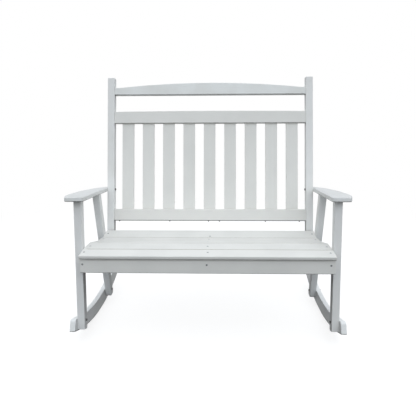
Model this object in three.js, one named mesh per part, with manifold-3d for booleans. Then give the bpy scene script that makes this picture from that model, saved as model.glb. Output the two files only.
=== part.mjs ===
// A rocking bench for two, made of painted boards that are bolted and screwed together.
// Millimetres. X runs along the seat, Y from the seat's front edge to the rear, Z up from the floor.
import * as THREE from 'three';
import { mergeVertices } from 'three/addons/utils/BufferGeometryUtils.js';
import Module from 'manifold-3d';

const wasm = await Module();
wasm.setup();

const degree = Math.PI / 180;
const quarterTurn = Math.PI / 2;
const halfTurn = Math.PI;
const sides = { left: -1, right: 1 };

// Fits and finish
const contactGap = 0.3;
const cutOverrun = 5;
const edgeEase = 2;
const edgeRound = 3;
const slatEase = 1;
const slatRound = 1.5;
const armEase = 4;
const easeSegments = 2;
const archSegments = 16;
const headSegments = 4;
const paintColour = 0xecebe6;
const paintRoughness = 0.5;
const steelColour = 0x35363a;
const steelRoughness = 0.45;
const steelMetalness = 0.85;

// Seat boards, from the front edge to the back
const seatLength = 1120;
const seatFrontHeight = 431.6;
const seatBoardThickness = 16;
const seatBoardGap = 4;
const frontBoardWidth = 73;
const seatBoardWidth = 88;
const wideBoardWidth = 135;
const frontBoardSlope = 7.8 * degree;
const crestBoardSlope = 1.4 * degree;
const fallBoardSlope = -12 * degree;
const dipBoardSlope = -5 * degree;
const rearBoardSlope = 10.5 * degree;

// Seat frame
const supportWidth = 34;
const apronSetback = 12;
const apronThickness = 18;
const apronHeight = 67;

// Rockers
const rockerRadius = 1234;
const rockerUpperRadius = 1210;
const rockerUpperAhead = 29;
const rockerWaistHeight = 67;
const rockerThickness = 25;
const rockerLowestAhead = 60.7;
const rockerFlatLength = 108;
const rockerFacetLength = 42;
const rockerFacetCount = 9;
const rockerUpperFacetCount = 20;
const rockerTopRound = 16;
const rockerToeRound = 5;
const rockerRoundSegments = 5;

// Legs
const legWidth = 34;
const frontLegDepth = 38;
const rearLegDepth = 40;
const frontLegSeatY = 56.6;
const frontLegLean = 3.2 * degree;
const rearLegAhead = 53.9;
const rearLegLean = 15.1 * degree;
const frontLegFootLift = 7;
const rearLegFootLift = 28;
const legFootChamfer = 9;

// Arms
const armFrontY = 42;
const armRise = 231.5;
const armSlope = 4 * degree;
const armThickness = 20.5;
const armTailOverhang = 39;
const armReach = 92;
const armInnerOverhang = 19;
const armInnerCornerRound = 16;
const armOuterCornerRound = 18;
const armTailRound = 14;
const armEdgeLengthShares = [0.17, 0.41, 0.56, 0.71, 0.85];
const armEdgeReachShares = [0.98, 1, 0.975, 0.85, 0.65];
const armFrontReachShare = 0.75;
const armTailReachShare = 0.31;

// Back
const seatBackGap = 1.1;
const backFootDrop = 7;
const backTilt = 9.9 * degree;
const postWidth = 38;
const postDepth = 38;
const postTopRise = 833;
const postFootDrop = 205;
const railHeight = 63.5;
const railDepth = 34;
const topRailDrop = 94;
const topRailEndHeight = 38;
const topRailShoulder = 24;
const topRailGap = 93;
const slatRailCrown = 3;
const bottomRailRise = 48.5;
const rearRailRise = -76;
const tenonLength = 20;
const tenonThickness = 12;
const tenonShoulder = 8;
const slatCount = 9;
const slatEndGap = 42.25;
const slatWidth = 63.5;
const slatThickness = 14;
const slatHousing = 10;

// Bolts
const boltRadius = 3;
const boltHoleClearance = 0.4;
const boltSides = 12;
const boltTip = 1;
const boltTipTaper = 0.6;
const washerRadius = 6.5;
const washerThickness = 1.2;
const nutSides = 6;
const nutAcrossCorners = 11.5;
const nutThickness = 3.6;
const boltHeadRadius = 8;
const boltHeadHeight = 3.4;
const lagReach = 30;
const lagPoint = 8;
const rockerBoltInset = 9;
const supportBoltRise = 26;

// Places that several pieces share
const seatHalf = seatLength / 2;
const legInnerX = seatHalf + contactGap;
const legCentreX = legInnerX + legWidth / 2;
const rockerInnerX = legInnerX + legWidth + contactGap;
const rockerCentreX = rockerInnerX + rockerThickness / 2;
const postInnerX = seatHalf - postWidth;
const supportCentreX = seatHalf - supportWidth / 2;
const slatPitch = (2 * (postInnerX - slatEndGap) - slatWidth) / (slatCount - 1);
const rockerFlatAngle = rockerFlatLength / rockerRadius / 2;
const rockerEndAngle = rockerFlatAngle + rockerFacetCount * rockerFacetLength / rockerRadius;
const armFrontHeight = seatFrontHeight + armRise;
const backFootHeight = seatFrontHeight - backFootDrop;
const topRailRise = postTopRise - topRailDrop;
const slatRailRise = topRailRise - topRailGap - railHeight;

// A painted board's material, and the bolts' dark zinc
function paint() {
  return new THREE.MeshStandardMaterial({ color: paintColour, roughness: paintRoughness, metalness: 0 });
}

function darkSteel() {
  return new THREE.MeshStandardMaterial({
    color: steelColour,
    roughness: steelRoughness,
    metalness: steelMetalness,
  });
}

const bench = new THREE.Group();

function add(name, geometry, material, parent = bench) {
  const mesh = new THREE.Mesh(geometry, material);
  mesh.name = name;
  parent.add(mesh);
  return mesh;
}

// Lines in the side view, each a point and the angle at which it climbs towards the rear
function line(y, z, slope) {
  return { y, z, slope };
}

function beside(base, distance) {
  const y = base.y + distance * Math.sin(base.slope);
  const z = base.z - distance * Math.cos(base.slope);
  return line(y, z, base.slope);
}

function along(base, distance) {
  return { y: base.y + distance * Math.cos(base.slope), z: base.z + distance * Math.sin(base.slope) };
}

function crossing(a, b) {
  const reach = (b.y - a.y) * Math.sin(b.slope) - (b.z - a.z) * Math.cos(b.slope);
  return along(a, reach / Math.sin(b.slope - a.slope));
}

// Seat boards, each at its own slope: together they make the crest and the dip
const seatBoards = [
  { width: frontBoardWidth, slope: frontBoardSlope },
  { width: seatBoardWidth, slope: crestBoardSlope },
  { width: wideBoardWidth, slope: fallBoardSlope },
  { width: seatBoardWidth, slope: dipBoardSlope },
  { width: seatBoardWidth, slope: rearBoardSlope },
];

let boardEdge = { y: 0, z: seatFrontHeight };
for (const board of seatBoards) {
  board.top = line(boardEdge.y, boardEdge.z, board.slope);
  board.rearEdge = along(board.top, board.width);
  boardEdge = along(board.top, board.width + seatBoardGap);
}

// The lines that the frame's pieces are cut to in the side view
const frontUnderside = beside(seatBoards[0].top, seatBoardThickness + contactGap);
const apronTop = crossing(frontUnderside, line(apronSetback, 0, quarterTurn)).z;
const seatFrameHeight = apronTop - apronHeight;
const rearBoard = seatBoards.at(-1);
const rearEdge = line(rearBoard.rearEdge.y, rearBoard.rearEdge.z, rearBoard.slope);
const rearCorner = beside(rearEdge, seatBoardThickness);
const backLine = line(rearCorner.y + seatBackGap, rearCorner.z, quarterTurn - backTilt);
const backFootY = crossing(backLine, line(0, backFootHeight, 0)).y;
const backFront = line(backFootY, backFootHeight, quarterTurn - backTilt);
const backMiddle = beside(backFront, postDepth / 2);
const armUnderside = line(armFrontY, armFrontHeight, -armSlope);
const legTop = beside(armUnderside, contactGap);
const rockerLowestY = backFootY - rockerLowestAhead;
const rearLegSeatY = backFootY - rearLegAhead;

// The centres of the arcs that a rocker's underside and its upper edge are sawn to
const underCentre = { y: rockerLowestY, z: rockerRadius * Math.cos(rockerFlatAngle) };
const upperCentre = { y: rockerLowestY - rockerUpperAhead, z: rockerWaistHeight + rockerUpperRadius };

// The lower of the two places where a line meets a circle
function onCircle(base, centre, radius) {
  const offset = { y: base.y - centre.y, z: base.z - centre.z };
  const lead = offset.y * Math.cos(base.slope) + offset.z * Math.sin(base.slope);
  const spare = lead * lead - offset.y * offset.y - offset.z * offset.z + radius * radius;
  return along(base, -lead - Math.sqrt(spare));
}

// Closed solids for cutting and joining
function solidOf(geometry) {
  const bare = geometry.clone();
  bare.deleteAttribute('normal');
  bare.deleteAttribute('uv');
  const merged = mergeVertices(bare);
  return new wasm.Manifold(new wasm.Mesh({
    numProp: 3,
    vertProperties: merged.attributes.position.array,
    triVerts: new Uint32Array(merged.index.array),
  }));
}

function geometryOf(solid) {
  const mesh = solid.getMesh();
  const geometry = new THREE.BufferGeometry();
  geometry.setAttribute('position', new THREE.BufferAttribute(mesh.vertProperties, 3));
  geometry.setIndex(new THREE.BufferAttribute(mesh.triVerts, 1));
  geometry.computeVertexNormals();
  return geometry;
}

function cut(geometry, tools) {
  return geometryOf(tools.reduce((solid, tool) => solid.subtract(solidOf(tool)), solidOf(geometry)));
}

function join(pieces) {
  return geometryOf(pieces.map(solidOf).reduce((whole, piece) => whole.add(piece)));
}

// A board cut to an outline, with its edges eased, centred on its thickness
function easedExtrusion(outline, thickness, ease, curveSegments = easeSegments) {
  const geometry = new THREE.ExtrudeGeometry(outline, {
    depth: thickness - 2 * ease,
    bevelThickness: ease,
    bevelSize: ease,
    bevelOffset: -ease,
    bevelSegments: easeSegments,
    curveSegments,
  });
  geometry.translate(0, 0, ease - thickness / 2);
  return geometry;
}

// An outline in the side view (y, z), given its thickness along X
function sideBoard(outline, thickness, ease = edgeEase, curveSegments = easeSegments) {
  const board = easedExtrusion(outline, thickness, ease, curveSegments);
  return board.rotateX(quarterTurn).rotateZ(quarterTurn);
}

// An outline in the front view (x, z), given its depth to the rear
function archedBoard(outline, depth) {
  const board = easedExtrusion(outline, depth, edgeEase, archSegments);
  return board.rotateX(quarterTurn).translate(0, depth / 2, 0);
}

function roundedRectangle(left, bottom, right, top, radius) {
  const shape = new THREE.Shape();
  shape.absarc(right - radius, bottom + radius, radius, -quarterTurn, 0);
  shape.absarc(right - radius, top - radius, radius, 0, quarterTurn);
  shape.absarc(left + radius, top - radius, radius, quarterTurn, halfTurn);
  shape.absarc(left + radius, bottom + radius, radius, halfTurn, halfTurn + quarterTurn);
  return shape;
}

function outlineOf(points) {
  return new THREE.Shape(points.map((point) => new THREE.Vector2(point.y, point.z)));
}

// A round tool along X, for a bolt hole at one place of the side view
function holeTool(place, length, radius = boltRadius + boltHoleClearance) {
  const tool = new THREE.CylinderGeometry(radius, radius, length, boltSides);
  return tool.rotateZ(quarterTurn).translate(0, place.y, place.z);
}

function holesThrough(places, thickness) {
  return places.map((place) => holeTool(place, thickness + 2 * cutOverrun));
}

// Seat boards
seatBoards.forEach((board, index) => {
  const section = roundedRectangle(0, -seatBoardThickness, board.width, 0, edgeRound);
  const mesh = add(`seat_board_${index + 1}`, sideBoard(section, seatLength), paint());
  mesh.position.set(0, board.top.y, board.top.z);
  mesh.rotation.x = board.slope;
});

// Seat supports: their top edge is sawn to the undersides of the boards
function supportOutline() {
  const front = line(apronSetback + apronThickness + contactGap, 0, quarterTurn);
  const rear = beside(backFront, -contactGap);
  const bottom = line(0, seatFrameHeight, 0);
  const boardUndersides = seatBoards.map((board) => beside(board.top, seatBoardThickness + contactGap));
  const upperEdges = [front, ...boardUndersides, rear];
  const contour = upperEdges.slice(1).map((edge, index) => crossing(upperEdges[index], edge));
  return outlineOf([crossing(bottom, front), crossing(bottom, rear), ...contour.reverse()]);
}

// Legs: the outline runs from the chamfered foot to the cut under the arm
function makeLeg(seatY, climb, depth, footLift) {
  const face = line(seatY, seatFrameHeight, climb);
  const middle = beside(face, depth / 2);
  const rear = beside(face, depth);
  const foot = onCircle(middle, underCentre, rockerRadius - footLift);
  const footSlope = Math.asin((foot.y - underCentre.y) / (rockerRadius - footLift));
  const sole = line(foot.y, foot.z, footSlope);
  const heel = crossing(sole, rear);
  const heelSole = along(line(heel.y, heel.z, footSlope), -legFootChamfer);
  const heelRear = along(line(heel.y, heel.z, climb), legFootChamfer);
  const corners = [crossing(sole, face), heelSole, heelRear, crossing(rear, legTop), crossing(face, legTop)];
  return {
    outline: outlineOf(corners),
    middle,
    rockerBolt: onCircle(middle, upperCentre, rockerUpperRadius + rockerBoltInset),
    supportBolt: crossing(middle, line(0, seatFrameHeight + supportBoltRise, 0)),
  };
}

const frontLeg = makeLeg(frontLegSeatY, quarterTurn - frontLegLean, frontLegDepth, frontLegFootLift);
const rearLeg = makeLeg(rearLegSeatY, quarterTurn + rearLegLean, rearLegDepth, rearLegFootLift);
const postBolt = crossing(rearLeg.middle, backMiddle);

// Rockers: the underside is an arc with a flat in its middle, where the bench comes to rest
function arcPoints(centre, radius, fromAngle, toAngle, facetCount) {
  return Array.from({ length: facetCount + 1 }, (_, step) => {
    const angle = fromAngle + (toAngle - fromAngle) * step / facetCount;
    return { y: centre.y + radius * Math.sin(angle), z: centre.z - radius * Math.cos(angle) };
  });
}

// The ends are cut square to the underside, so the upper edge stops where that cut meets it
function upperEndAngle(corner, turn) {
  const end = onCircle(line(corner.y, corner.z, quarterTurn + turn), upperCentre, rockerUpperRadius);
  return Math.asin((end.y - upperCentre.y) / rockerUpperRadius);
}

function roundTo(shape, from, corner, to, size) {
  const start = new THREE.Vector2(from.y - corner.y, from.z - corner.z).setLength(size);
  const end = new THREE.Vector2(to.y - corner.y, to.z - corner.z).setLength(size);
  shape.lineTo(corner.y + start.x, corner.z + start.y);
  shape.quadraticCurveTo(corner.y, corner.z, corner.y + end.x, corner.z + end.y);
}

function rockerOutline() {
  const under = [
    ...arcPoints(underCentre, rockerRadius, -rockerEndAngle, -rockerFlatAngle, rockerFacetCount),
    ...arcPoints(underCentre, rockerRadius, rockerFlatAngle, rockerEndAngle, rockerFacetCount),
  ];
  const toe = under[0];
  const tail = under.at(-1);
  const tailAngle = upperEndAngle(tail, rockerEndAngle);
  const toeAngle = upperEndAngle(toe, -rockerEndAngle);
  const upper = arcPoints(upperCentre, rockerUpperRadius, tailAngle, toeAngle, rockerUpperFacetCount);
  const shape = new THREE.Shape();
  shape.moveTo(under[1].y, under[1].z);
  under.slice(1, -1).forEach((point) => shape.lineTo(point.y, point.z));
  roundTo(shape, under.at(-2), tail, upper[0], rockerToeRound);
  roundTo(shape, tail, upper[0], upper[1], rockerTopRound);
  upper.slice(1, -1).forEach((point) => shape.lineTo(point.y, point.z));
  roundTo(shape, upper.at(-2), upper.at(-1), toe, rockerTopRound);
  roundTo(shape, upper.at(-1), toe, under[1], rockerToeRound);
  return shape;
}

// Arms: a plan outline, wide over the front leg and narrow where it passes the post
const armMiddle = beside(armUnderside, -armThickness / 2);
const armBolt = crossing(armMiddle, backMiddle);
const armPost = crossing(armUnderside, backFront);

function distanceAlongArm(place) {
  return (place.y - armFrontY) * Math.cos(armSlope) - (place.z - armFrontHeight) * Math.sin(armSlope);
}

const armLength = distanceAlongArm(armPost) + postDepth + armTailOverhang;

function armOutline(side) {
  const shape = new THREE.Shape();
  const outerEdge = armEdgeLengthShares.map((share, index) => (
    new THREE.Vector2(side * armReach * armEdgeReachShares[index], share * armLength)
  ));
  const frontReach = armReach * armFrontReachShare;
  const tailReach = armReach * armTailReachShare;
  const innerX = contactGap;
  shape.moveTo(side * innerX, armLength);
  shape.lineTo(side * innerX, distanceAlongArm(armPost));
  shape.lineTo(-side * armInnerOverhang, armInnerCornerRound);
  shape.quadraticCurveTo(
    -side * armInnerOverhang, 0,
    side * (armInnerCornerRound - armInnerOverhang), 0,
  );
  shape.lineTo(side * (frontReach - armOuterCornerRound), 0);
  shape.quadraticCurveTo(side * frontReach, 0, side * frontReach, armOuterCornerRound);
  shape.splineThru([...outerEdge, new THREE.Vector2(side * tailReach, armLength - armTailRound)]);
  shape.quadraticCurveTo(side * tailReach, armLength, side * (tailReach - armTailRound), armLength);
  return shape;
}

// Bolts lie along X with the head outboard; zero is the face that the washer sits on
function hexagon(from, thickness) {
  const hex = new THREE.CylinderGeometry(nutAcrossCorners / 2, nutAcrossCorners / 2, thickness, nutSides);
  return hex.translate(0, from + thickness / 2, 0);
}

function revolved(profile) {
  return new THREE.LatheGeometry(profile.map(([radius, y]) => new THREE.Vector2(radius, y)), boltSides);
}

function layAlongX(geometry) {
  return geometry.rotateZ(-quarterTurn);
}

function carriageBolt(grip) {
  const washerBack = -contactGap - washerThickness;
  const end = washerBack - nutThickness - boltTip;
  const seat = grip + contactGap;
  const dome = Array.from({ length: headSegments }, (_, step) => {
    const angle = quarterTurn * step / headSegments;
    return [boltHeadRadius * Math.cos(angle), seat + boltHeadHeight * Math.sin(angle)];
  });
  const body = revolved([
    [0, end],
    [boltRadius - boltTipTaper, end],
    [boltRadius, end + boltTipTaper],
    [boltRadius, washerBack],
    [washerRadius, washerBack],
    [washerRadius, -contactGap],
    [boltRadius, -contactGap],
    [boltRadius, seat],
    ...dome,
    [0, seat + boltHeadHeight],
  ]);
  return layAlongX(join([body, hexagon(washerBack - nutThickness, nutThickness)]));
}

function lagScrew(grip) {
  const washerBack = -contactGap - washerThickness;
  const tip = grip + lagReach;
  const body = revolved([
    [0, washerBack],
    [washerRadius, washerBack],
    [washerRadius, -contactGap],
    [boltRadius, -contactGap],
    [boltRadius, tip - lagPoint],
    [0, tip],
  ]);
  return layAlongX(join([body, hexagon(washerBack - nutThickness, nutThickness + washerThickness / 2)]));
}

function addBolt(name, geometry, innerX, place, side) {
  const mesh = add(name, geometry, darkSteel());
  mesh.position.set(side * innerX, place.y, place.z);
  mesh.rotation.y = side > 0 ? 0 : halfTurn;
}

// The two end frames
const legStackGrip = legWidth + contactGap + rockerThickness;
const supportStackGrip = supportWidth + contactGap + legWidth;
const postStackGrip = postWidth + contactGap + legWidth;

for (const [sideName, side] of Object.entries(sides)) {
  const rockerHoles = holesThrough([frontLeg.rockerBolt, rearLeg.rockerBolt], rockerThickness);
  const board = sideBoard(rockerOutline(), rockerThickness, edgeEase, rockerRoundSegments);
  const rocker = cut(board, rockerHoles);
  add(`rocker_${sideName}`, rocker, paint()).position.x = side * rockerCentreX;

  const frontHoles = holesThrough([frontLeg.rockerBolt, frontLeg.supportBolt], legWidth);
  const front = cut(sideBoard(frontLeg.outline, legWidth), frontHoles);
  add(`front_leg_${sideName}`, front, paint()).position.x = side * legCentreX;

  const rearHoles = holesThrough([rearLeg.rockerBolt, rearLeg.supportBolt, postBolt], legWidth);
  const rear = cut(sideBoard(rearLeg.outline, legWidth), rearHoles);
  add(`rear_leg_${sideName}`, rear, paint()).position.x = side * legCentreX;

  const supportHoles = holesThrough([frontLeg.supportBolt, rearLeg.supportBolt], supportWidth);
  const support = cut(sideBoard(supportOutline(), supportWidth), supportHoles);
  add(`seat_support_${sideName}`, support, paint()).position.x = side * supportCentreX;

  const lagHoleLength = 2 * (lagReach + cutOverrun);
  const lagPlace = { y: distanceAlongArm(armBolt), z: armThickness / 2 };
  const armBoard = easedExtrusion(armOutline(side), armThickness, armEase);
  const arm = cut(armBoard.translate(0, 0, armThickness / 2), [holeTool(lagPlace, lagHoleLength)]);
  const armMesh = add(`arm_${sideName}`, arm, paint());
  armMesh.position.set(side * seatHalf, armFrontY, armFrontHeight);
  armMesh.rotation.x = -armSlope;

  const rockerBolt = carriageBolt(legStackGrip);
  addBolt(`rocker_bolt_front_${sideName}`, rockerBolt, legInnerX, frontLeg.rockerBolt, side);
  addBolt(`rocker_bolt_rear_${sideName}`, rockerBolt.clone(), legInnerX, rearLeg.rockerBolt, side);
  const supportBolt = carriageBolt(supportStackGrip);
  const supportInnerX = seatHalf - supportWidth;
  addBolt(`seat_bolt_front_${sideName}`, supportBolt, supportInnerX, frontLeg.supportBolt, side);
  addBolt(`seat_bolt_rear_${sideName}`, supportBolt.clone(), supportInnerX, rearLeg.supportBolt, side);
  addBolt(`post_bolt_${sideName}`, carriageBolt(postStackGrip), postInnerX, postBolt, side);
  addBolt(`arm_bolt_${sideName}`, lagScrew(postWidth), postInnerX, armBolt, side);
}

// Front apron and middle support
const apronSection = roundedRectangle(0, 0, apronThickness, apronHeight, edgeRound);
const apron = add('front_apron', sideBoard(apronSection, seatLength), paint());
apron.position.set(0, apronSetback, seatFrameHeight);
add('seat_support_centre', sideBoard(supportOutline(), supportWidth), paint());

// The back leans as one group: x along the rails, y from its front face, z up its posts
const back = new THREE.Group();
back.position.set(0, backFootY, backFootHeight);
back.rotation.x = -backTilt;
bench.add(back);

function inBack(place) {
  const run = place.y - backFootY;
  const climb = place.z - backFootHeight;
  return {
    y: run * Math.cos(backTilt) - climb * Math.sin(backTilt),
    z: run * Math.sin(backTilt) + climb * Math.cos(backTilt),
  };
}

function box(width, depth, height, x, y, z) {
  return new THREE.BoxGeometry(width, depth, height).translate(x, y, z);
}

const railHalf = postInnerX - contactGap;
const tenonHeight = railHeight - 2 * tenonShoulder;
const topTenonHeight = topRailEndHeight - 2 * tenonShoulder;
const rails = [
  { rise: topRailRise, tenon: topTenonHeight },
  { rise: slatRailRise, tenon: tenonHeight },
  { rise: bottomRailRise, tenon: tenonHeight },
  { rise: rearRailRise, tenon: tenonHeight },
];

// Posts, mortised for the rails
for (const [sideName, side] of Object.entries(sides)) {
  const profile = roundedRectangle(0, -postFootDrop, postDepth, postTopRise, edgeRound);
  const mortises = rails.map((rail) => box(
    2 * (tenonLength + contactGap),
    tenonThickness + 2 * contactGap,
    rail.tenon + 2 * contactGap,
    -side * postWidth / 2,
    railDepth / 2,
    rail.rise + tenonShoulder + rail.tenon / 2,
  ));
  const holes = holesThrough([inBack(armBolt), inBack(postBolt)], postWidth);
  const post = cut(sideBoard(profile, postWidth), [...mortises, ...holes]);
  add(`back_post_${sideName}`, post, paint(), back).position.x = side * (seatHalf - postWidth / 2);
}

// Rails: an arched board at the top, then the two that hold the slats, and one behind the seat
function tenons(height) {
  const reach = 2 * (railHalf + tenonLength);
  return box(reach, tenonThickness, height, 0, railDepth / 2, tenonShoulder + height / 2);
}

function crownedOutline(endHeight, crown, shoulder) {
  const shape = new THREE.Shape();
  const archHalf = railHalf - shoulder;
  shape.moveTo(-railHalf, 0);
  shape.lineTo(railHalf, 0);
  shape.lineTo(railHalf, endHeight);
  shape.lineTo(archHalf, endHeight);
  shape.quadraticCurveTo(0, endHeight + 2 * crown, -archHalf, endHeight);
  shape.lineTo(-railHalf, endHeight);
  return shape;
}

function railSection() {
  return roundedRectangle(0, 0, railDepth, railHeight, edgeRound);
}

const slatPlaces = Array.from({ length: slatCount }, (_, index) => (index - (slatCount - 1) / 2) * slatPitch);

function slatHousings(z) {
  return slatPlaces.map((x) => box(
    slatWidth + 2 * contactGap,
    slatThickness + 2 * contactGap,
    2 * (slatHousing + contactGap),
    x,
    railDepth / 2,
    z,
  ));
}

const arch = railHeight - topRailEndHeight;
const topBoard = archedBoard(crownedOutline(topRailEndHeight, arch, topRailShoulder), railDepth);
const topRail = join([topBoard, tenons(topTenonHeight)]);
add('top_rail', topRail, paint(), back).position.z = topRailRise;

const slatBoard = archedBoard(crownedOutline(railHeight, slatRailCrown, edgeEase), railDepth);
const slatRail = cut(join([slatBoard, tenons(tenonHeight)]), slatHousings(0));
add('slat_rail', slatRail, paint(), back).position.z = slatRailRise;

const plainRail = join([sideBoard(railSection(), 2 * railHalf), tenons(tenonHeight)]);
add('bottom_rail', cut(plainRail, slatHousings(railHeight)), paint(), back).position.z = bottomRailRise;
add('rear_seat_rail', plainRail, paint(), back).position.z = rearRailRise;

// Slats, housed in the rails above and below
const slatFoot = bottomRailRise + railHeight - slatHousing;
const slatTop = slatRailRise + slatHousing;
const slatFront = (railDepth - slatThickness) / 2;
slatPlaces.forEach((x, index) => {
  const profile = roundedRectangle(0, 0, slatThickness, slatTop - slatFoot, slatRound);
  const slat = add(`back_slat_${index + 1}`, sideBoard(profile, slatWidth, slatEase), paint(), back);
  slat.position.set(x, slatFront, slatFoot);
});

// The finished bench stands with the middle of its footprint at the origin
bench.updateMatrixWorld(true);
const extent = new THREE.Box3().setFromObject(bench, true);
bench.position.y = -(extent.min.y + extent.max.y) / 2;

export default bench;
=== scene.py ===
# %% [markdown]
# # A painted rocking bench
#
# This lesson dresses a packed model of a rocking bench for two. The boards, rockers and bolts
# come from the frame with their shapes finished. What is left for Blender is the paint, the
# small screws, the floor, the light and the camera. Everything is in metres, with Z up and the
# bench's front towards -Y.

# %% Load the frame
import math
import random

import bmesh
import bpy
from mathutils import Matrix, Vector
from mathutils.bvhtree import BVHTree


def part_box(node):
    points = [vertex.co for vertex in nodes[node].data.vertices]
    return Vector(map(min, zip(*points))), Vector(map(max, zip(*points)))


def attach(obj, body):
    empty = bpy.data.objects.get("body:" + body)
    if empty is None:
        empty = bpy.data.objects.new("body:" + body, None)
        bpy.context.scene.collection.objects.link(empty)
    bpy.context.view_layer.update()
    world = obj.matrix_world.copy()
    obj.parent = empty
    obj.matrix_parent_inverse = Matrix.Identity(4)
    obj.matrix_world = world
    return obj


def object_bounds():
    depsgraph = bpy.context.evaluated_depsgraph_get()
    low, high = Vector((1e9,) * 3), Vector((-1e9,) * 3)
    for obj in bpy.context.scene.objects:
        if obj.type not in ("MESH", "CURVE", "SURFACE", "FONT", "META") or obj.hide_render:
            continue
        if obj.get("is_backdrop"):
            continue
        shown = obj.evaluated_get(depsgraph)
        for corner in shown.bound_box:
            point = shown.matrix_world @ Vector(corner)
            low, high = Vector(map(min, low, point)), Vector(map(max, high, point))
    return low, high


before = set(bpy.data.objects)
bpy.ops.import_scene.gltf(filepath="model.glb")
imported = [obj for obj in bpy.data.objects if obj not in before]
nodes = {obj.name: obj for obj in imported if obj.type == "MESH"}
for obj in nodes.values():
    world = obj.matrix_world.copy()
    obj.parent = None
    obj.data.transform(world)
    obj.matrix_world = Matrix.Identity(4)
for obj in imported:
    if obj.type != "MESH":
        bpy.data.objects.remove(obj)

cad_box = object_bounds()
print(f"{len(nodes)} pieces in a box {[round(v, 3) for v in cad_box[1] - cad_box[0]]} m")

# %% [markdown]
# ## Camera
#
# The camera comes first, because every later choice is judged through it. The photograph was
# taken from about one metre up, a few centimetres to the right of the middle, 1.8 m ahead of
# the seat, and turned slightly down. A short focal length at that distance gives the splayed
# look of the arms. A Track To constraint could aim the camera at the seat, but it can't give
# the small roll. So the pose is written as three turns, in the order in which a tripod makes
# them: roll, tilt, then pan. The small vertical shift stands for the crop of the picture,
# which isn't centred on the lens.

# %% Set up the camera
LENS_MM = 37.38
SENSOR_MM = 36
CAMERA_PLACE = Vector((0.0620, -2.2195, 1.0137))
CAMERA_PAN = 0.0303
CAMERA_TILT_DOWN = 0.1602
CAMERA_ROLL = -0.0044
CAMERA_SHIFT_Y = -0.0436

camera_data = bpy.data.cameras.new("porch_camera")
camera_data.lens = LENS_MM
camera_data.sensor_width = SENSOR_MM
camera_data.shift_y = CAMERA_SHIFT_Y
camera = bpy.data.objects.new("porch_camera", camera_data)
bpy.context.scene.collection.objects.link(camera)
tripod = (
    Matrix.Rotation(CAMERA_PAN, 4, "Z")
    @ Matrix.Rotation(math.pi / 2 - CAMERA_TILT_DOWN, 4, "X")
    @ Matrix.Rotation(CAMERA_ROLL, 4, "Z")
)
camera.matrix_world = Matrix.Translation(CAMERA_PLACE) @ tripod
bpy.context.scene.camera = camera
print(f"camera {cad_box[0].y - CAMERA_PLACE.y:.2f} m in front of the bench")

# %% [markdown]
# ### Colours as they are written
#
# Blender's usual view bends colours as a film would, which turns whites grey. The paint could
# be written brighter to make up for it, but it would then be wrong in any other scene. So the
# plain transform is chosen, and a colour comes out as it was written.

# %% Choose the plain transform
bpy.context.scene.view_settings.view_transform = "Standard"
print("view transform:", bpy.context.scene.view_settings.view_transform)

# %% [markdown]
# ## Painted boards
#
# The bench is sawn and planed boards under two coats of white porch paint. Paint hides the
# colour of the wood but not its shape: fibres still stand out a few hundredths of a
# millimetre along each board, the brush leaves long faint strokes, and end grain drinks paint
# and dries duller. An image texture could carry that, but it would need UVs on 32 boards.
# Noise that is stretched along the board does the same from the object's own coordinates, so
# one recipe, with its grain in one of three directions, covers every board.
#
# A recipe is a chain of shader nodes. In the node editor they are placed by hand, but a script
# adds them one by one, which takes many lines, so a small kit comes first. Its first part adds
# a node, links in what another node has worked out, and writes in what is a plain number. Its
# second part gives a name to each step that recipes repeat, and its third puts a material
# around them.

# %% Add and link nodes
class Wiring:
    """Adds nodes to a tree and links them."""

    def __init__(self, tree):
        self.tree = tree

    def set(self, socket, value):
        if isinstance(value, bpy.types.NodeSocket):
            self.tree.links.new(value, socket)
        else:
            socket.default_value = value

    def add(self, kind, inputs=None, **settings):
        node = self.tree.nodes.new("ShaderNode" + kind)
        for name, value in settings.items():
            setattr(node, name, value)
        for name, value in (inputs or {}).items():
            self.set(node.inputs[name], value)
        return node


print("wiring can", ", ".join(name for name in vars(Wiring) if name[0] != "_"))

# %% Name the steps that recipes repeat
MIX_FACTOR, MIX_FIRST, MIX_SECOND, MIX_RESULT = 0, 6, 7, 2  # a Mix node's sockets for colours


class Recipe(Wiring):
    """Says each step in a word, so that a recipe reads from top to bottom."""

    def math(self, operation, first, second=0.0, clamp=False):
        node = self.add("Math", {0: first, 1: second}, operation=operation, use_clamp=clamp)
        return node.outputs[0]

    def greater(self, first, second):
        return self.math("MAXIMUM", first, second)

    def vector_math(self, operation, first, second):
        node = self.add("VectorMath", {0: first, 1: second}, operation=operation)
        return node.outputs["Value"]

    def steps(self, value, low, high, to_low=0.0, to_high=1.0):
        """Maps low..high smoothly to to_low..to_high."""
        limits = {"From Min": low, "From Max": high, "To Min": to_low, "To Max": to_high}
        node = self.add("MapRange", {"Value": value, **limits}, interpolation_type="SMOOTHSTEP")
        return node.outputs[0]

    def blend(self, factor, first, second):
        node = self.add("Mix", data_type="RGBA")
        self.set(node.inputs[MIX_FACTOR], factor)
        self.set(node.inputs[MIX_FIRST], first)
        self.set(node.inputs[MIX_SECOND], second)
        return node.outputs[MIX_RESULT]

    def weighed_sum(self, total, shares, patterns, clamp=False):
        """Adds the patterns that are named in shares to the total, each at its share."""
        for name, share in shares.items():
            part = self.math("MULTIPLY", patterns[name], share)
            total = self.math("ADD", total, part, clamp)
        return total

    def seen_directly(self):
        """1 for the camera, in reflections and through glass, and 0 for light that spreads."""
        rays = self.add("LightPath").outputs
        seen = self.greater(rays["Is Camera Ray"], rays["Is Glossy Ray"])
        return self.greater(seen, rays["Is Transmission Ray"])


print("a recipe also has", ", ".join(name for name in vars(Recipe) if name[0] != "_"))

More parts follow.
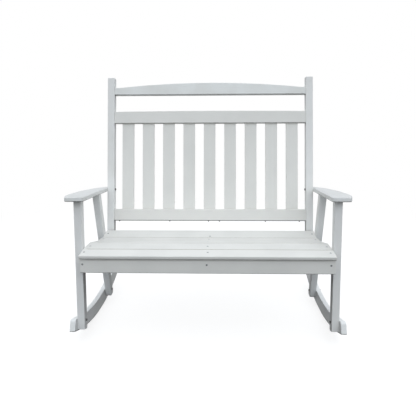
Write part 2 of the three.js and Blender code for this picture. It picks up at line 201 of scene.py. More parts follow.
# %% Put a material around a recipe
class Finish(Recipe):
    """Ends in the Principled shader of one new material."""

    def __init__(self, name):
        self.material = bpy.data.materials.new(name)
        self.material.use_nodes = True
        super().__init__(self.material.node_tree)
        self.shader = self.tree.nodes["Principled BSDF"]
        self.output = self.tree.nodes["Material Output"]

    def feed(self, socket_name, value):
        self.tree.links.new(value, self.shader.inputs[socket_name])

    def fixed(self, **values):
        for name, value in values.items():
            self.shader.inputs[name.replace("_", " ")].default_value = value


print("a finish also has", ", ".join(name for name in vars(Finish) if name[0] != "_"))

# %% [markdown]
# ### The whites and greys
#
# Each group of boards gets a white of its own, and these whites are painted light and shade:
# the seat and the slats are a warm white, the legs, arms and rockers a cooler one, as the light
# that falls on them is warmer or cooler, the top rail and the posts are lighter, where more light
# falls, and the bottom rail is darker. A random tint for each board would not follow the light,
# so each group gets its white. The other colours are partly what age does to a coat and partly
# painted light and shade. A white stays under 0.9, because no paint gives back all the light it
# gets.

# %% Name the colours
WHITE = (0.806, 0.802, 0.770, 1)
# Painted light and shade: each group's white is lighter, darker, warmer or cooler as light falls
# on it.
SEAT_WHITE = (0.822, 0.816, 0.786, 1)
LOW_RAIL_SHADED_WHITE = (0.780, 0.772, 0.742, 1)
COOL_WHITE = (0.800, 0.803, 0.797, 1)
POST_LIT_WHITE = (0.834, 0.838, 0.828, 1)
TOP_RAIL_LIT_WHITE = (0.855, 0.872, 0.860, 1)
# Painted light: the whitest white, laid where faces turn up or to the front, towards the light.
LIT_FACE_WHITE = (0.885, 0.895, 0.890, 1)
THIN_COAT = (0.748, 0.745, 0.718, 1)
END_GRAIN = (0.790, 0.800, 0.790, 1)
RUBBED_EDGE = (0.675, 0.670, 0.640, 1)
# Painted shade: the grey laid on the arms' tops, which lean back from the light.
ARM_TOP_SHADE_GREY = (0.635, 0.638, 0.632, 1)
# Dust and painted shade: the warm brown that darkens the seams, partly dust, partly the shade of
# the gap.
DUST_AND_SHADE_BROWN = (0.36, 0.30, 0.245, 1)
# Painted shade: the dark grey laid along lower edges, along the bottom rail's lower edge and on
# inner sides under the seat.
PAINTED_SHADE_GREY = (0.18, 0.18, 0.175, 1)
print(f"the whites run from {LOW_RAIL_SHADED_WHITE[0]:.2f} to {LIT_FACE_WHITE[0]:.2f}")

# %% [markdown]
# ### Patterns that follow the board
#
# Wood is a bundle of long fibres, so its patterns are long too. Noise is made long by scaling
# its coordinates less along the board than across it. Three patterns are stretched like that:
# the fibres, the brush strokes and the growth figure, which folds a slow noise back and forth
# into bands. Blender's Wave texture draws bands as well, but they are too even for wood. A
# fine dimple and a slow cloud, where the coat is thicker or thinner, have no direction.

# %% Stretch noise along a board
FIBRES_ACROSS, FIBRES_ALONG = 900.0, 22.0
STROKES_ACROSS, STROKES_ALONG = 210.0, 5.0
FIGURE_ACROSS, FIGURE_ALONG = 34.0, 1.6
GROWTH_BANDS = 9.0
DIMPLES, CLOUDS = 1500.0, 5.0


def stretched(recipe, point, along, across_scale, along_scale):
    """Coordinates that run slowly along the board and quickly across it."""
    scale = [across_scale] * 3
    scale["xyz".index(along)] = along_scale
    return recipe.add("Mapping", {"Vector": point, "Scale": scale}).outputs["Vector"]


def noise(recipe, vector, scale=1.0, detail=3.0, roughness=0.5, distortion=0.0):
    values = {
        "Vector": vector,
        "Scale": scale,
        "Detail": detail,
        "Roughness": roughness,
        "Distortion": distortion,
    }
    return recipe.add("TexNoise", values).outputs["Fac"]


def board_patterns(paint, point, along):
    fibre_point = stretched(paint, point, along, FIBRES_ACROSS, FIBRES_ALONG)
    stroke_point = stretched(paint, point, along, STROKES_ACROSS, STROKES_ALONG)
    figure_point = stretched(paint, point, along, FIGURE_ACROSS, FIGURE_ALONG)
    figure = noise(paint, figure_point, detail=2.0, distortion=1.6)
    return {
        "fibres": noise(paint, fibre_point, detail=4.0, roughness=0.62),
        "strokes": noise(paint, stroke_point, detail=2.0, distortion=0.4),
        "growth": paint.math("PINGPONG", paint.math("MULTIPLY", figure, GROWTH_BANDS), 0.5),
        "dimple": noise(paint, point, scale=DIMPLES, detail=1.0),
        "cloud": noise(paint, point, scale=CLOUDS, detail=3.0),
    }


print(f"fibres about {1000 / FIBRES_ACROSS:.1f} mm wide and {1000 / FIBRES_ALONG:.0f} mm long")

# %% [markdown]
# ### Worn edges
#
# At the eased edges the coat has drawn back and has been handled, so it is a touch greyer and
# duller there, in the stretches where the brush left less. A mask painted by hand would be
# needed for each board, and the Pointiness of Geometry needs a finer mesh than a board has.
# The Bevel node finds edges by itself: it rounds the surface only for shading, and where its
# answer leaves the true surface, there is an edge.

# %% Find the worn edges
EDGE_SEARCH = 0.0035
EDGE_TURN = (0.985, 0.86)  # cosines: where the wear starts and where it is full
THIN_STROKES = (0.42, 0.66)  # strokes at which the wear starts and is full


def bevelled(paint, radius, samples):
    return paint.add("Bevel", {"Radius": radius}, samples=samples).outputs[0]


def edge_wear(paint, true_normal, strokes):
    rounded = bevelled(paint, EDGE_SEARCH, samples=4)
    edge = paint.steps(paint.vector_math("DOT_PRODUCT", rounded, true_normal), *EDGE_TURN)
    return paint.math("MULTIPLY", edge, paint.steps(strokes, *THIN_STROKES), clamp=True)


print(f"edges are looked for {1000 * EDGE_SEARCH:.1f} mm around each point")

# %% [markdown]
# ### Dust and painted shade in the seams
#
# In the seams between the seat boards the paint is darkened to a thin warm line: partly dust
# that has settled where a brush and later a cloth can't reach, and partly painted shade, the
# dark of the gap. Strips laid in the seams would show from below as well, so the paint itself
# darkens there. The Ambient Occlusion node finds the seams: with a reach of about a centimetre
# it only sees what is nearly closed in. Other joints get a weaker line, and it fades out near
# the ends of the seat, so the legs and arms outside it don't get it.

# %% Find the seams
SEAM_REACH = 0.012
SEAM_OPENNESS = (0.92, 0.40)  # where the darkening starts and where it is darkest
MOST_DUST_AND_SHADE = 0.95
USUAL_DUST_AND_SHADE, SEAT_DUST_AND_SHADE = 0.25, 1.0
SEAM_DARKENING_ENDS = (0.535, 0.553)  # distances from the bench's middle


# The seam mask: partly dust, partly painted shade where the Ambient Occlusion node finds the
# surface closed in.
def seam_dust_and_shade(paint, place, amount):
    openness = paint.add("AmbientOcclusion", {"Distance": SEAM_REACH}, samples=8).outputs["AO"]
    closed_in = paint.steps(openness, *SEAM_OPENNESS, 0.0, MOST_DUST_AND_SHADE)
    short_of_ends = paint.steps(paint.math("ABSOLUTE", place["X"]), *SEAM_DARKENING_ENDS, amount, 0.0)
    return paint.math("MULTIPLY", closed_in, short_of_ends)


print(f"dust up to {1000 * SEAM_DARKENING_ENDS[0]:.0f} mm from the bench's middle")

# %% [markdown]
# ### Painted shade: lower edges, the bottom rail and sides under the seat
#
# Lower edges carry a thin dark line of painted shade, where an eased edge turns down and away
# from the light. It is wider on the rockers. The rounded normal of the Bevel node dips at such
# an edge, but not as far as on a true underside, so the line is where the Z of that normal lies
# between two limits.
#
# The bottom rail, just over the seat, has such a line of painted shade all along its lower
# edge, also where its edge is sharp. Here a height is enough, and faces looking back are left out.
#
# The inner sides of legs and posts under the seat are painted darker, as painted shade,
# darkest close under the seat. Inner means that a face looks towards the bench's middle, so
# the normal is compared with the side that the piece stands on. Vertex colours could hold all
# these marks, but only on finer meshes than the boards have.

# %% Find where shade is painted
EDGE_SHADE_REACH = 0.0080
EASED_EDGE_DIP = (-0.32, -0.52)
ROCKER_EDGE_DIP = (0.0, -0.22)
UNDERSIDE_DIP = (-0.96, -0.88)
RAIL_SHADE_BLUR = 0.0008
LOOKING_BACK = (0.6, 0.3)
LOOKING_INWARD = (-0.7, -0.9)
UNDER_SEAT_SHADE_FADE = 0.01
UNDER_SEAT_SHADE_HEIGHTS = (0.10, 0.34)  # between them the painted shade grows to its full share
UNDER_SEAT_SHADE_NEAR_FLOOR = 0.25


# Painted shade: a dark line where an eased edge turns down, away from the light.
def painted_edge_shade(paint, dip):
    downward_tilt = paint.add("SeparateXYZ", {0: bevelled(paint, EDGE_SHADE_REACH, samples=8)}).outputs["Z"]
    return paint.math("MULTIPLY", paint.steps(downward_tilt, *dip), paint.steps(downward_tilt, *UNDERSIDE_DIP))


# Painted shade: a dark line along the bottom rail's lower edge, on faces that don't look back.
def painted_rail_edge_shade(paint, place, normal, height):
    low = paint.steps(place["Z"], height + RAIL_SHADE_BLUR, height - RAIL_SHADE_BLUR)
    return paint.math("MULTIPLY", low, paint.steps(normal["Y"], *LOOKING_BACK))


# Painted shade: inner sides of legs and posts under the seat are darkened, darkest close under it.
def painted_under_seat_shade(paint, place, normal, top, share):
    outward = paint.math("MULTIPLY", paint.math("SIGN", place["X"]), normal["X"])
    under = paint.steps(place["Z"], top + UNDER_SEAT_SHADE_FADE, top)
    inner = paint.math("MULTIPLY", paint.steps(outward, *LOOKING_INWARD), under)
    shade_strength = paint.steps(place["Z"], *UNDER_SEAT_SHADE_HEIGHTS, UNDER_SEAT_SHADE_NEAR_FLOOR, share)
    return paint.math("MULTIPLY", inner, shade_strength)


# The reach within which the painted shade along lower edges is looked for.
print(f"drips are looked for {1000 * EDGE_SHADE_REACH:.0f} mm around each point")

# %% [markdown]
# ### The recipe for paint
#
# Now the parts come together in three chains. The colour is a stack of layers, each blended
# over the ones before it where its mask says, and some of the layers are painted light and
# shade. The roughness starts from the cloud and rises where the coat is brushed, drunk in by
# end grain, handled, or in the seams with their dust and painted shade. The relief adds up the
# fibres, strokes, growth bands and dimple, and a Bump node turns it into shading, because a
# few hundredths of a millimetre are too fine for geometry. Each layer could be a shader of its
# own, mixed with the others, but one shader with mixed inputs is quicker and easier to bake.

# %% Stack the layers of colour
THIN_CLOUDS = (0.40, 0.68, 0.0, 0.55)
THIN_BANDS = (0.36, 0.5, 0.0, 0.22)
END_GRAIN_SHARE, WEAR_SHARE = 0.7, 0.6


def facing_layer(paint, normal, axis, start, full, share, colour):
    """A layer that grows from start to full as a face turns towards an axis."""
    return paint.steps(normal[axis], start, full, 0.0, share), colour


def coat_layers(
    paint, pattern, place, normal, facing=None, rail_edge_shade=None, under_seat_shade=None, dip=EASED_EDGE_DIP
):
    """Where each colour lies, from the coat itself to the painted shade on top of it."""
    layers = [
        (paint.steps(pattern["cloud"], *THIN_CLOUDS), THIN_COAT),
        (paint.steps(pattern["growth"], *THIN_BANDS), THIN_COAT),
    ]
    if facing:
        layers.append(facing_layer(paint, normal, **facing))
    layers += [
        (paint.math("MULTIPLY", pattern["end grain"], END_GRAIN_SHARE), END_GRAIN),
        (paint.math("MULTIPLY", pattern["worn"], WEAR_SHARE), RUBBED_EDGE),
        # The seams' dust and painted shade.
        (pattern["seam_shade_and_dust"], DUST_AND_SHADE_BROWN),
        # Painted shade along lower edges.
        (painted_edge_shade(paint, dip), PAINTED_SHADE_GREY),
    ]
    # Painted shade along the bottom rail's lower edge.
    if rail_edge_shade:
        layers.append((painted_rail_edge_shade(paint, place, normal, rail_edge_shade), PAINTED_SHADE_GREY))
    # Painted shade on inner sides under the seat.
    if under_seat_shade:
        layers.append((painted_under_seat_shade(paint, place, normal, **under_seat_shade), PAINTED_SHADE_GREY))
    return layers


print(f"full end grain shows by {END_GRAIN_SHARE:.0%}, full wear by {WEAR_SHARE:.0%}")

# %% Mix the paint
END_FACING = (0.80, 0.96)
ROUGHNESS_OF_CLOUDS = (0.3, 0.7, 0.46, 0.60)
DULL_SHARES = {"strokes": 0.06, "end grain": 0.16, "worn": 0.10, "seam_shade_and_dust": 0.30}
RELIEF_SHARES = {"fibres": 0.45, "strokes": 0.35, "growth": 0.40, "dimple": 0.12}
RELIEF_DEPTH, RELIEF_STRENGTH = 0.00025, 0.35
EDGE_ROUNDING = 0.0012


def mix_paint(name, along, white=WHITE, dust=USUAL_DUST_AND_SHADE, **marks):
    """Paint on boards whose grain runs along x, y or z, with marks and painted light and shade."""
    paint = Finish(name)
    point = paint.add("TexCoord").outputs["Object"]
    true_normal = paint.add("NewGeometry").outputs["True Normal"]
    normal = paint.add("SeparateXYZ", {0: true_normal}).outputs
    place = paint.add("SeparateXYZ", {0: point}).outputs
    pattern = board_patterns(paint, point, along)
    endwise = paint.math("ABSOLUTE", normal["xyz".index(along)])
    pattern["end grain"] = paint.steps(endwise, *END_FACING)
    pattern["worn"] = edge_wear(paint, true_normal, pattern["strokes"])
    pattern["seam_shade_and_dust"] = seam_dust_and_shade(paint, place, dust)

    coat = white
    for mask, colour in coat_layers(paint, pattern, place, normal, **marks):
        coat = paint.blend(mask, coat, colour)
    paint.feed("Base Color", coat)

    clouded = paint.steps(pattern["cloud"], *ROUGHNESS_OF_CLOUDS)
    paint.feed("Roughness", paint.weighed_sum(clouded, DULL_SHARES, pattern, clamp=True))

    bump = {
        "Strength": RELIEF_STRENGTH,
        "Distance": RELIEF_DEPTH,
        "Height": paint.weighed_sum(0.0, RELIEF_SHARES, pattern),
        "Normal": bevelled(paint, EDGE_ROUNDING, samples=6),
    }
    paint.feed("Normal", paint.add("Bump", bump).outputs[0])
    paint.fixed(IOR=1.48, Specular_IOR_Level=0.18)
    return paint.material


fibre_height = RELIEF_SHARES["fibres"] * RELIEF_DEPTH * RELIEF_STRENGTH
print(f"fibres stand out by about {1000 * fibre_height:.2f} mm")

# %% [markdown]
# ### A paint for each group of boards
#
# What differs from group to group is small enough for a table, and eleven recipes written out
# would drift apart with every change. The tops of the arms are painted greyer, as painted
# shade. The rockers' tops and ends, and the fronts of the rear legs, are painted the whitest,
# as painted light. The bottom rail leans, so its front edge is higher than the lowest point of
# its box, and its line of painted shade is measured from that edge.

# %% Fill the table of paints
RAIL_EDGE_RISE = 0.0059
RAIL_SHADE_WIDTH = 0.0035
UNDER_SEAT = 0.365
BEHIND_RAIL = 0.005  # how far the posts' painted shade reaches up behind the rail
UNDER_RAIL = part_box("bottom_rail")[0].z + BEHIND_RAIL
# How high the bottom rail's line of painted shade reaches.
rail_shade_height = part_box("bottom_rail")[0].z + RAIL_EDGE_RISE + RAIL_SHADE_WIDTH
# Painted shade under the seat, for the legs and for the posts.
leg_under_seat_shade = {"top": UNDER_SEAT, "share": 0.9}
post_under_seat_shade = {"top": UNDER_RAIL, "share": 0.65}
# Painted shade: the arms' upward faces are greyed.
shaded_arm_tops = {"axis": "Z", "start": 0.60, "full": 0.90, "share": 0.62, "colour": ARM_TOP_SHADE_GREY}
# Painted light: the rockers' upward faces and the rear legs' front faces get the whitest white.
lit_upper_faces = {"axis": "Z", "start": 0.12, "full": 0.30, "share": 1.0, "colour": LIT_FACE_WHITE}
lit_front_faces = {"axis": "Y", "start": -0.7, "full": -0.9, "share": 1.0, "colour": LIT_FACE_WHITE}
PAINTS = {
    "across": ("grain_x", "x", {}),
    "front to back": ("grain_y", "y", {}),
    "upright": ("grain_z", "z", {}),
    "seat": ("of_the_seat", "x", {"white": SEAT_WHITE, "dust": SEAT_DUST_AND_SHADE}),
    "arm": ("of_the_arms", "y", {"white": COOL_WHITE, "facing": shaded_arm_tops}),
    "rocker": (
        "of_the_rockers",
        "y",
        {"white": COOL_WHITE, "facing": lit_upper_faces, "dip": ROCKER_EDGE_DIP},
    ),
    "top rail": ("of_the_top_rail", "x", {"white": TOP_RAIL_LIT_WHITE}),
    "low rail": ("of_the_low_rail", "x", {"white": LOW_RAIL_SHADED_WHITE, "rail_edge_shade": rail_shade_height}),
    "leg": ("of_the_legs", "z", {"white": COOL_WHITE, "under_seat_shade": leg_under_seat_shade}),
    "rear leg": (
        "of_the_rear_legs",
        "z",
        {"white": COOL_WHITE, "facing": lit_front_faces, "under_seat_shade": leg_under_seat_shade},
    ),
    "post": ("of_the_posts", "z", {"white": POST_LIT_WHITE, "under_seat_shade": post_under_seat_shade}),
}
finishes = {
    key: mix_paint(f"porch_paint_{name}", along, **extras)
    for key, (name, along, extras) in PAINTS.items()
}
print("paints:", ", ".join(material.name for material in finishes.values()))

# %% [markdown]
# ### Zinc on the bolts
#
# The nuts and bolt heads are plain zinc-plated steel that has gone dark outdoors. One even
# grey metal would look newly plated. Old zinc turns dull in small patches, so the roughness is
# spotted, and the colour swings between a dark and a lighter grey at the same spots, with a
# few specks of pale bloom.

# %% Plate the bolts
ZINC_DARK = (0.10, 0.10, 0.105, 1)
ZINC_GREY = (0.24, 0.24, 0.235, 1)
ZINC_BLOOM = (0.33, 0.32, 0.30, 1)
PATCHES, SPECKS = 260.0, 1400.0
PATCH_BORDER = (0.38, 0.62)
BLOOM_SPECKS = (0.58, 0.70, 0.0, 0.6)
ZINC_ROUGHNESS = (0.3, 0.7, 0.38, 0.62)
ZINC_EDGE_ROUNDING = 0.0006
ZINC_RELIEF_DEPTH, ZINC_RELIEF_STRENGTH = 0.0001, 0.3


def dull_zinc():
    zinc = Finish("dull_zinc")
    point = zinc.add("TexCoord").outputs["Object"]
    patches = noise(zinc, point, scale=PATCHES, detail=4.0, roughness=0.6)
    specks = noise(zinc, point, scale=SPECKS, detail=2.0)
    tone = zinc.blend(zinc.steps(patches, *PATCH_BORDER), ZINC_DARK, ZINC_GREY)
    tone = zinc.blend(zinc.steps(specks, *BLOOM_SPECKS), tone, ZINC_BLOOM)
    zinc.feed("Base Color", tone)
    zinc.feed("Roughness", zinc.steps(patches, *ZINC_ROUGHNESS))
    bump = {
        "Strength": ZINC_RELIEF_STRENGTH,
        "Distance": ZINC_RELIEF_DEPTH,
        "Height": specks,
        "Normal": bevelled(zinc, ZINC_EDGE_ROUNDING, samples=4),
    }
    zinc.feed("Normal", zinc.add("Bump", bump).outputs[0])
    zinc.fixed(Metallic=0.85)
    return zinc.material


finishes["zinc"] = dull_zinc()
print("plated:", finishes["zinc"].name)

# %% [markdown]
# ## Which piece gets which finish
#
# A board is cut with its grain along its length, so the choice follows from each piece's
# name: rails, apron and seat boards lie across the bench, arms, rockers and supports run from
# front to back, and legs, posts and slats stand. The pieces could be picked by hand in the
# viewport, but names still hold when the frame is packed again. The first entry that a name
# begins with counts, so bolts come before boards. The two bolts through the posts were painted
# over with them, and the others show their zinc.

# %% Paint the boards and plate the bolts
FINISH_OF = (
    ("post_bolt", "post"),
    ("rocker_bolt", "zinc"),
    ("seat_bolt", "zinc"),
    ("arm_bolt", "zinc"),
    ("seat_board", "seat"),
    ("seat_support", "front to back"),
    ("front_apron", "across"),
    ("top_rail", "top rail"),
    ("slat_rail", "across"),
    ("bottom_rail", "low rail"),
    ("rear_seat_rail", "across"),
    ("back_slat", "upright"),
    ("back_post", "post"),
    ("front_leg", "leg"),
    ("rear_leg", "rear leg"),
    ("arm", "arm"),
    ("rocker", "rocker"),
)
counts = dict.fromkeys(finishes, 0)
for name, piece in nodes.items():
    key = next(key for start, key in FINISH_OF if name.startswith(start))
    counts[key] += 1
    for slot in piece.material_slots:
        slot.material = finishes[key]
print("pieces by finish:", counts)

# %% [markdown]
# ## Finding a place on a board
#
# The seat boards lie at five slopes, so a screw can't be placed by a height written down
# here. A Shrinkwrap modifier could press it onto the board, but would bend it. A ray that is
# dropped on the board gives both the point and the direction that the surface faces, and the
# screw is then set square to it.

# %% Drop a ray on a piece
CLEAR_OF_BOARD = 0.1
DOWN = (0, 0, -1)
trees = {}


def touch(node, start, direction):
    """Where a ray meets a piece of the frame, and which way the surface faces there."""
    if node not in trees:
        mesh = nodes[node].data
        corners = [vertex.co for vertex in mesh.vertices]
        trees[node] = BVHTree.FromPolygons(corners, [tuple(p.vertices) for p in mesh.polygons])
    place, normal, _, _ = trees[node].ray_cast(Vector(start), Vector(direction))
    if place is None:
        raise ValueError(f"no surface of {node} from {start}")
    return place, normal.normalized()


low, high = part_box("seat_board_1")
middle, _ = touch("seat_board_1", (0, (low.y + high.y) / 2, 1), DOWN)
print(f"the middle of the front seat board is {middle.z:.3f} m up")

# %% [markdown]
# ## Screws
#
# Small countersunk screws hold the seat boards to their three supports, and the apron to the
# supports' ends. All were driven before the last coat. On the seat that coat has worn thin
# over the heads, which show as small grey spots in a ring of paint, and on the apron the heads
# sit a little deeper and are bare and dark, their near-black partly painted shade for the
# recess they sit in. A head is turned as a profile: a low rim of lifted paint, the wall of
# the countersink, and a slightly crowned head with a square socket in it.
# Cutting the holes with a boolean would change the boards, and a profile turned in bmesh is
# exact and leaves them alone.

# %% Lay and bridge the rings of a profile
RING_STEPS = 28


def ring(mesh, radius, height):
    angles = [2 * math.pi * step / RING_STEPS for step in range(RING_STEPS)]
    return [mesh.verts.new((radius * math.cos(a), radius * math.sin(a), height)) for a in angles]


def square_ring(mesh, half, height):
    """A ring of as many points as the round ones, laid round a square socket."""
    points = []
    for step in range(RING_STEPS):
        angle = 2 * math.pi * step / RING_STEPS
        reach = half / max(abs(math.cos(angle)), abs(math.sin(angle)))
        points.append(mesh.verts.new((reach * math.cos(angle), reach * math.sin(angle), height)))
    return points


def bridge(mesh, outer, inner, slot):
    for step in range(RING_STEPS):
        after = (step + 1) % RING_STEPS
        face = mesh.faces.new((outer[step], outer[after], inner[after], inner[step]))
        face.material_index = slot


print(f"{RING_STEPS} points to a ring, one every {360 / RING_STEPS:.0f} degrees")

# %% Close the rings into a head
RIM, STEEL = 0, 1


def turned_head(name, mesh, rings):
    """Closes rings, given from the foot to the socket with their slots, to one mesh."""
    for (outer, _), (inner, slot) in zip(rings, rings[1:]):
        bridge(mesh, outer, inner, slot)
    socket_floor, slot = rings[-1]
    mesh.faces.new(socket_floor).material_index = slot
    foot, _ = rings[0]
    mesh.faces.new(list(reversed(foot)))
    bmesh.ops.recalc_face_normals(mesh, faces=mesh.faces)
    data = bpy.data.meshes.new(name)
    mesh.to_mesh(data)
    mesh.free()
    for polygon in data.polygons:
        polygon.use_smooth = len(polygon.vertices) == 4
    return data


print(f"a head's slots: {RIM} for its rim of paint, {STEEL} for its steel")

# %% Turn the countersunk heads
SEAT_HEAD = {"radius": 0.0042, "rim_height": 0.00035, "head_height": 0.00008}
APRON_HEAD = {"radius": 0.0040, "rim_height": 0.0004, "head_height": 0.00005}
BURIED = -0.0006
CROWN, LIP, SOCKET_DEPTH = 0.00008, 0.00006, 0.0004


def screw_head(name, radius, rim_height, head_height):
    mesh = bmesh.new()
    rings = [
        (ring(mesh, radius * 1.28, BURIED), RIM),  # the foot, hidden in the board
        (ring(mesh, radius * 1.28, rim_height * 0.2), RIM),  # outer edge of the lifted paint
        (ring(mesh, radius * 1.12, rim_height), RIM),  # its crest
        (ring(mesh, radius, rim_height * 0.75), RIM),  # its inner edge
        (ring(mesh, radius * 0.94, head_height), RIM),  # foot of the countersink's wall
        (ring(mesh, radius * 0.62, head_height + CROWN), STEEL),  # the head
        (square_ring(mesh, radius * 0.30, head_height + LIP), STEEL),  # lip of the socket
        (square_ring(mesh, radius * 0.27, head_height - SOCKET_DEPTH), STEEL),  # its floor
    ]
    return turned_head(name, mesh, rings)


seat_head = screw_head("seat_screw_head", **SEAT_HEAD)
apron_head = screw_head("apron_screw_head", **APRON_HEAD)
print("faces in a head:", len(seat_head.polygons))

# %% [markdown]
# ### Finishes of the heads
#
# The seat's heads have paint over them that has worn through on the high parts, so their
# colour is a grey between paint and steel. The bare heads, on the apron and under the bottom
# rail, are dark and dirty steel, and their near-black is partly painted shade, for the recess
# and the shade they sit in. One flat colour each would do from afar but not close up, so both
# are driven by noise, like the paint, at a scale that suits a head a few millimetres wide.

# %% Mix the finishes of the heads
WEAR_SPOTS, GRIT = 900.0, 3200.0
SPOT_BORDER = (0.40, 0.60)
HEAD_ROUGHNESS = (0.3, 0.7, 0.42, 0.60)
HEAD_RELIEF_DEPTH, HEAD_RELIEF_STRENGTH = 0.00006, 0.4


def head_finish(name, light, dark, metallic):
    finish = Finish(name)
    point = finish.add("TexCoord").outputs["Object"]
    worn = noise(finish, point, scale=WEAR_SPOTS, detail=3.0, roughness=0.6)
    grit = noise(finish, point, scale=GRIT, detail=1.0)
    finish.feed("Base Color", finish.blend(finish.steps(worn, *SPOT_BORDER), light, dark))
    finish.feed("Roughness", finish.steps(grit, *HEAD_ROUGHNESS))
    bump = {"Strength": HEAD_RELIEF_STRENGTH, "Distance": HEAD_RELIEF_DEPTH, "Height": worn}
    finish.feed("Normal", finish.add("Bump", bump).outputs[0])
    finish.fixed(Metallic=metallic)
    return finish.material


painted_head = head_finish(
    "painted_screw_head", light=(0.26, 0.26, 0.25, 1), dark=(0.13, 0.13, 0.125, 1), metallic=0.2
)
# Partly painted shade: bare dark steel, darker still to stand for the shade of the recesses it
# sits in.
bare_and_shaded_head = head_finish(
    "bare_and_shaded_screw_head", light=(0.045, 0.045, 0.045, 1), dark=(0.02, 0.02, 0.022, 1), metallic=0.3
)
worn_rim = head_finish(
    "screw_rim_paint", light=(0.74, 0.75, 0.75, 1), dark=(0.60, 0.61, 0.61, 1), metallic=0.0
)
print("head finishes:", painted_head.name, bare_and_shaded_head.name, worn_rim.name)

# %% [markdown]
# ### Driving the screws
#
# Nobody measures for every screw of a porch bench. Some rows lie a little off the middle of
# their board, some single screws stray from their row, and each socket stops at an angle of
# its own. All could be left to chance, but these strays are large enough to be seen, so they
# are written down. The rest is chance with a fixed seed, so that the bench comes out the same
# each time.

# %% Drive a screw
random.seed(7)
QUARTER_TURN = math.pi / 2


def drive(name, head, place, outward, head_material):
    """Sets a head on a surface, turned by chance as a driver leaves it."""
    data = head.copy()
    data.materials.append(worn_rim)
    data.materials.append(head_material)
    screw = bpy.data.objects.new(name, data)
    bpy.context.scene.collection.objects.link(screw)
    turn = Matrix.Rotation(random.uniform(0, QUARTER_TURN), 4, "Z")
    stand = outward.to_track_quat("Z", "Y").to_matrix().to_4x4()
    screw.matrix_world = Matrix.Translation(place) @ stand @ turn
    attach(screw, "root")


print(f"a square socket can stop anywhere within {math.degrees(QUARTER_TURN):.0f} degrees")

# %% Drive the seat's screws
ROW_SHIFTS = {1: 0.004, 2: -0.006, 3: 0.0, 4: 0.0, 5: 0.0}
STRAYS = {
    (1, "left"): (-0.0025, 0.0),
    (2, "left"): (0.0040, 0.0),
    (1, "centre"): (0.0050, 0.0),
    (2, "centre"): (0.0015, 0.0),
    (5, "centre"): (0.0045, -0.030),
}
ON_LINE = (0.0, 0.0)
WANDER_X, WANDER_Y = 0.0015, 0.002

supports = {side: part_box(f"seat_support_{side}") for side in ("left", "centre", "right")}
rows = {side: (box[0].x + box[1].x) / 2 for side, box in supports.items()}
for number, row_shift in ROW_SHIFTS.items():
    board = f"seat_board_{number}"
    low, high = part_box(board)
    row = (low.y + high.y) / 2 + row_shift
    for side, x in rows.items():
        stray_x, stray_y = STRAYS.get((number, side), ON_LINE)
        stray_x += random.uniform(-WANDER_X, WANDER_X)
        stray_y += random.uniform(-WANDER_Y, WANDER_Y)
        start = (x + stray_x, row + stray_y, high.z + CLEAR_OF_BOARD)
        place, normal = touch(board, start, DOWN)
        name = f"seat_screw_{number}_{side}"
        drive(name, seat_head, place, normal, painted_head)
print(f"{len(ROW_SHIFTS) * len(rows)} seat screws")

# %% Drive the apron's screws
APRON_SHIFTS = {"left": -0.0045, "centre": 0.0, "right": -0.0035}
APRON_SCREW_HEIGHT = 0.59  # of the apron's height, from below
BACKWARDS = (0, 1, 0)

low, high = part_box("front_apron")
screw_z = low.z + APRON_SCREW_HEIGHT * (high.z - low.z)
for side, x in rows.items():
    start = (x + APRON_SHIFTS[side], low.y - CLEAR_OF_BOARD, screw_z)
    place, normal = touch("front_apron", start, BACKWARDS)
    drive(f"apron_screw_{side}", apron_head, place, normal, bare_and_shaded_head)
print(f"{len(rows)} apron screws, {screw_z:.3f} m up")

# %% [markdown]
# ### Screws under the bottom rail
#
# Along the underside of the bottom rail the photograph shows a few small dark bumps: the heads
# of screws that come up through the rail into the slats and tenons, and that don't sit flush.
# They are pan heads. Half a sphere would have no socket and no upright foot, so they are
# turned as the others are, with the profile of a dome.

# %% Turn the pan heads
PAN_RADIUS = 0.0040
PAN_HEIGHT = 0.0042
PAN_PROFILE = ((1.0, -0.2), (1.0, 0.25), (0.93, 0.55), (0.74, 0.82), (0.45, 0.96))
PAN_SOCKET = ((0.26, 0.99), (0.23, 0.45))


def pan_head(name):
    mesh = bmesh.new()
    rings = [(ring(mesh, PAN_RADIUS * r, PAN_HEIGHT * h), STEEL) for r, h in PAN_PROFILE]
    rings += [(square_ring(mesh, PAN_RADIUS * r, PAN_HEIGHT * h), STEEL) for r, h in PAN_SOCKET]
    return turned_head(name, mesh, rings)


pan = pan_head("pan_head")
print("faces in a pan head:", len(pan.polygons))

# %% Drive the pan heads
PAN_PLACES = (-0.495, -0.218, -0.006, 0.054, 0.304, 0.488)
PAN_ROW = 0.26  # of the rail's depth, from the front
UP = (0, 0, 1)

low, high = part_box("bottom_rail")
row = low.y + PAN_ROW * (high.y - low.y)
for number, x in enumerate(PAN_PLACES, start=1):
    place, normal = touch("bottom_rail", (x, row, low.z - CLEAR_OF_BOARD), UP)
    drive(f"rail_screw_{number}", pan, place, normal, bare_and_shaded_head)
print(f"{len(PAN_PLACES)} pan heads under the bottom rail")

# %% [markdown]
# ## Floor and backdrop
#
# The photograph is a cut-out on white. A floor that is simply lit until it is white would
# throw too much light up under the seat, where the real picture is dark. So the floor has two
# faces: to light that spreads from board to board it is nearly black, and only to the camera
# and in reflections is it pale, with the bench's shadow kept. Far out it fades to the white of
# the world behind it, so no horizon shows.

# %% Lay the floor
FLOOR_RADIUS = 14.0
FLOOR_STEPS = 96
FLOOR_GAP = 0.0005


def lay_floor():
    mesh = bmesh.new()
    bmesh.ops.create_circle(mesh, cap_ends=True, radius=FLOOR_RADIUS, segments=FLOOR_STEPS)
    data = bpy.data.meshes.new("studio_floor")
    mesh.to_mesh(data)
    mesh.free()
    floor = bpy.data.objects.new("studio_floor", data)
    bpy.context.scene.collection.objects.link(floor)
    floor.location.z = cad_box[0].z - FLOOR_GAP
    return floor


floor = lay_floor()
floor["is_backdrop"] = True
print(f"floor {2 * FLOOR_RADIUS:.0f} m across")

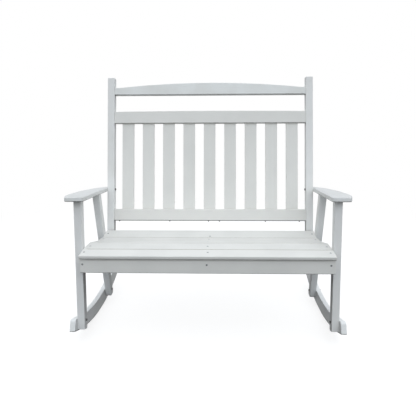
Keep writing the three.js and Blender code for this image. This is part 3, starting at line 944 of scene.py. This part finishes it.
# %% Give the floor its two faces
PLAIN_WHITE = (1, 1, 1, 1)
FADE = (1.1, 3.2)
TO_LIGHT, TO_CAMERA, LIFT = 0.05, 0.30, 0.80


def floor_finish():
    finish = Finish("studio_floor")
    finish.tree.nodes.remove(finish.shader)
    seen = finish.seen_directly()
    point = finish.add("TexCoord").outputs["Object"]
    distance = finish.add("VectorMath", {0: point}, operation="LENGTH").outputs["Value"]

    def diffuse(level):
        return finish.add("BsdfDiffuse", {"Color": (level, level, level, 1)}).outputs[0]

    def glow(strength):
        return finish.add("Emission", {"Color": PLAIN_WHITE, "Strength": strength}).outputs[0]

    near = finish.add("AddShader", {0: diffuse(TO_CAMERA), 1: glow(LIFT)}).outputs[0]
    far = finish.steps(distance, *FADE)
    shown = finish.add("MixShader", {0: far, 1: near, 2: glow(1.0)}).outputs[0]
    mixed = finish.add("MixShader", {0: seen, 1: diffuse(TO_LIGHT), 2: shown}).outputs[0]
    finish.set(finish.output.inputs["Surface"], mixed)
    return finish.material


floor.data.materials.append(floor_finish())
print(f"it fades to white from {FADE[0]} m to {FADE[1]} m from the middle")

# %% [markdown]
# ## Light
#
# The shadows in the photograph have no edges at all, so no lamp made them. The boards show
# where the light comes from by how they lean: the upright apron is grey, the back, which
# leans ten degrees, is lighter, the rockers' ends, which lean twenty, are lighter again, and
# the seat is nearly white. Faces that look down or inwards are dark. That is an even sky,
# dimmer towards the horizon, with two very broad glows in it: one high in front, and one lower
# behind that also keeps the bench's back white. Large area lamps could stand for the glows,
# but they would have edges and would have to be hidden, so the light is a world and no lamps.
# Each glow fades with a power of the nearness of a direction to its middle. To the camera and
# in reflections the world is plain white.

# %% Describe the sky
SKY_LEVEL = 0.70
SKY_TINT = (0.955, 1.0, 1.045, 1)
HORIZON_SHARE, CLEAR_FROM = 0.65, 0.45
FRONT_GLOW = {"level": 1.52, "fade": 6.0, "elevation": 47, "turn": 12}
REAR_GLOW = {"level": 1.25, "fade": 8.0, "elevation": 30, "turn": 180}


def middle_of(glow):
    """The direction of a glow: its turn is measured from the front, towards the right."""
    up, round_to = math.radians(glow["elevation"]), math.radians(glow["turn"])
    across = math.cos(up)
    return Vector((across * math.sin(round_to), -across * math.cos(round_to), math.sin(up)))


print("front glow towards", [round(v, 2) for v in middle_of(FRONT_GLOW)])

# %% Make the sky
world = bpy.data.worlds.new("studio_sky")
bpy.context.scene.world = world
world.use_nodes = True
world.node_tree.nodes.clear()
air = Recipe(world.node_tree)

direction = air.add("TexCoord").outputs["Generated"]
height = air.add("SeparateXYZ", {0: direction}).outputs["Z"]
haze = {"From Max": CLEAR_FROM, "To Min": SKY_LEVEL * HORIZON_SHARE, "To Max": SKY_LEVEL}
strength = air.add("MapRange", {"Value": height, **haze}).outputs["Result"]
for glow in (FRONT_GLOW, REAR_GLOW):
    nearness = air.greater(air.vector_math("DOT_PRODUCT", direction, middle_of(glow)), 0.0)
    faded = air.math("POWER", nearness, glow["fade"])
    strength = air.math("ADD", strength, air.math("MULTIPLY", faded, glow["level"]))
dim = air.add("Background", {"Color": SKY_TINT, "Strength": strength}).outputs[0]
white = air.add("Background", {"Color": PLAIN_WHITE, "Strength": 1.0}).outputs[0]
mixed = air.add("MixShader", {0: air.seen_directly(), 1: dim, 2: white}).outputs[0]
air.add("OutputWorld", {"Surface": mixed})
levels = FRONT_GLOW["level"], REAR_GLOW["level"]
print(f"sky at {SKY_LEVEL}, with glows of {levels[0]} in front and {levels[1]} behind")

# %% [markdown] ## Finish  The packed model sets the real size, so the dressed bench may not
# outgrow it.

# %% Write the sizes and finish
dressed_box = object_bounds()
growth = (dressed_box[1] - dressed_box[0]) - (cad_box[1] - cad_box[0])
print("grown by", [round(v, 5) for v in growth])
